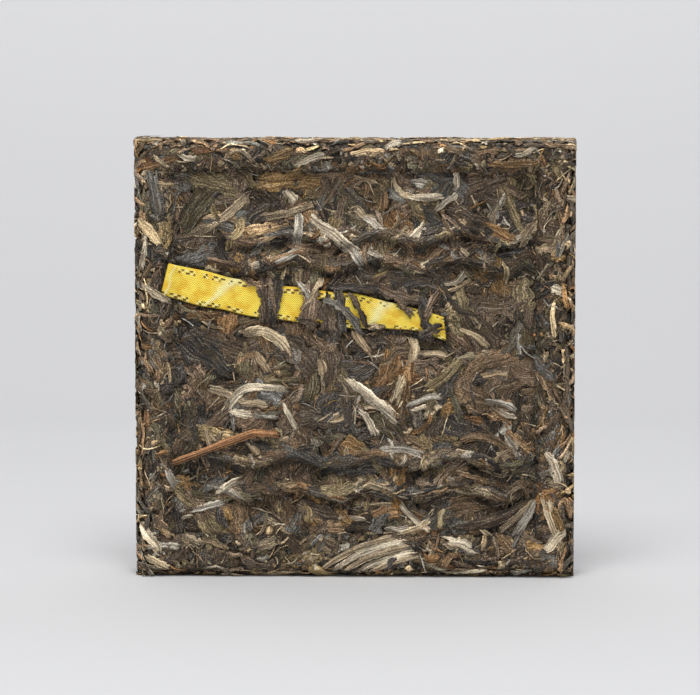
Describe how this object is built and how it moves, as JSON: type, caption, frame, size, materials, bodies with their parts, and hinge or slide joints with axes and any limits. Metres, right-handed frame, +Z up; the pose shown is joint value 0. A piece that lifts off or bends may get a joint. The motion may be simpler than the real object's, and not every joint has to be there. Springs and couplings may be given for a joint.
{
  "type": "pressed pu erh tea brick with a ribbon",
  "caption": "Square brick of pressed dark tea leaves standing on edge, with a raised rim, a shallow recess with soft wave ridges, and a narrow woven ribbon pressed into the front.",
  "frame": {"origin": "middle of the edge that the brick stands on, at the centre of the bounding box's bottom", "axes": "+Z up as the brick stands, the pressed front with the ribbon faces -Y, +X to the right seen from the front"},
  "size_m": [0.1, 0.014, 0.1],
  "materials": {
    "tea": "compressed dry tea leaves, matt to slightly waxy, dark brown to olive with paler buds and stems",
    "ribbon": "fine woven ribbon with a soft satin sheen"
  },
  "bodies": {
    "root": {"brick": "tea", "ribbon": "ribbon"}
  },
  "joints": []
}
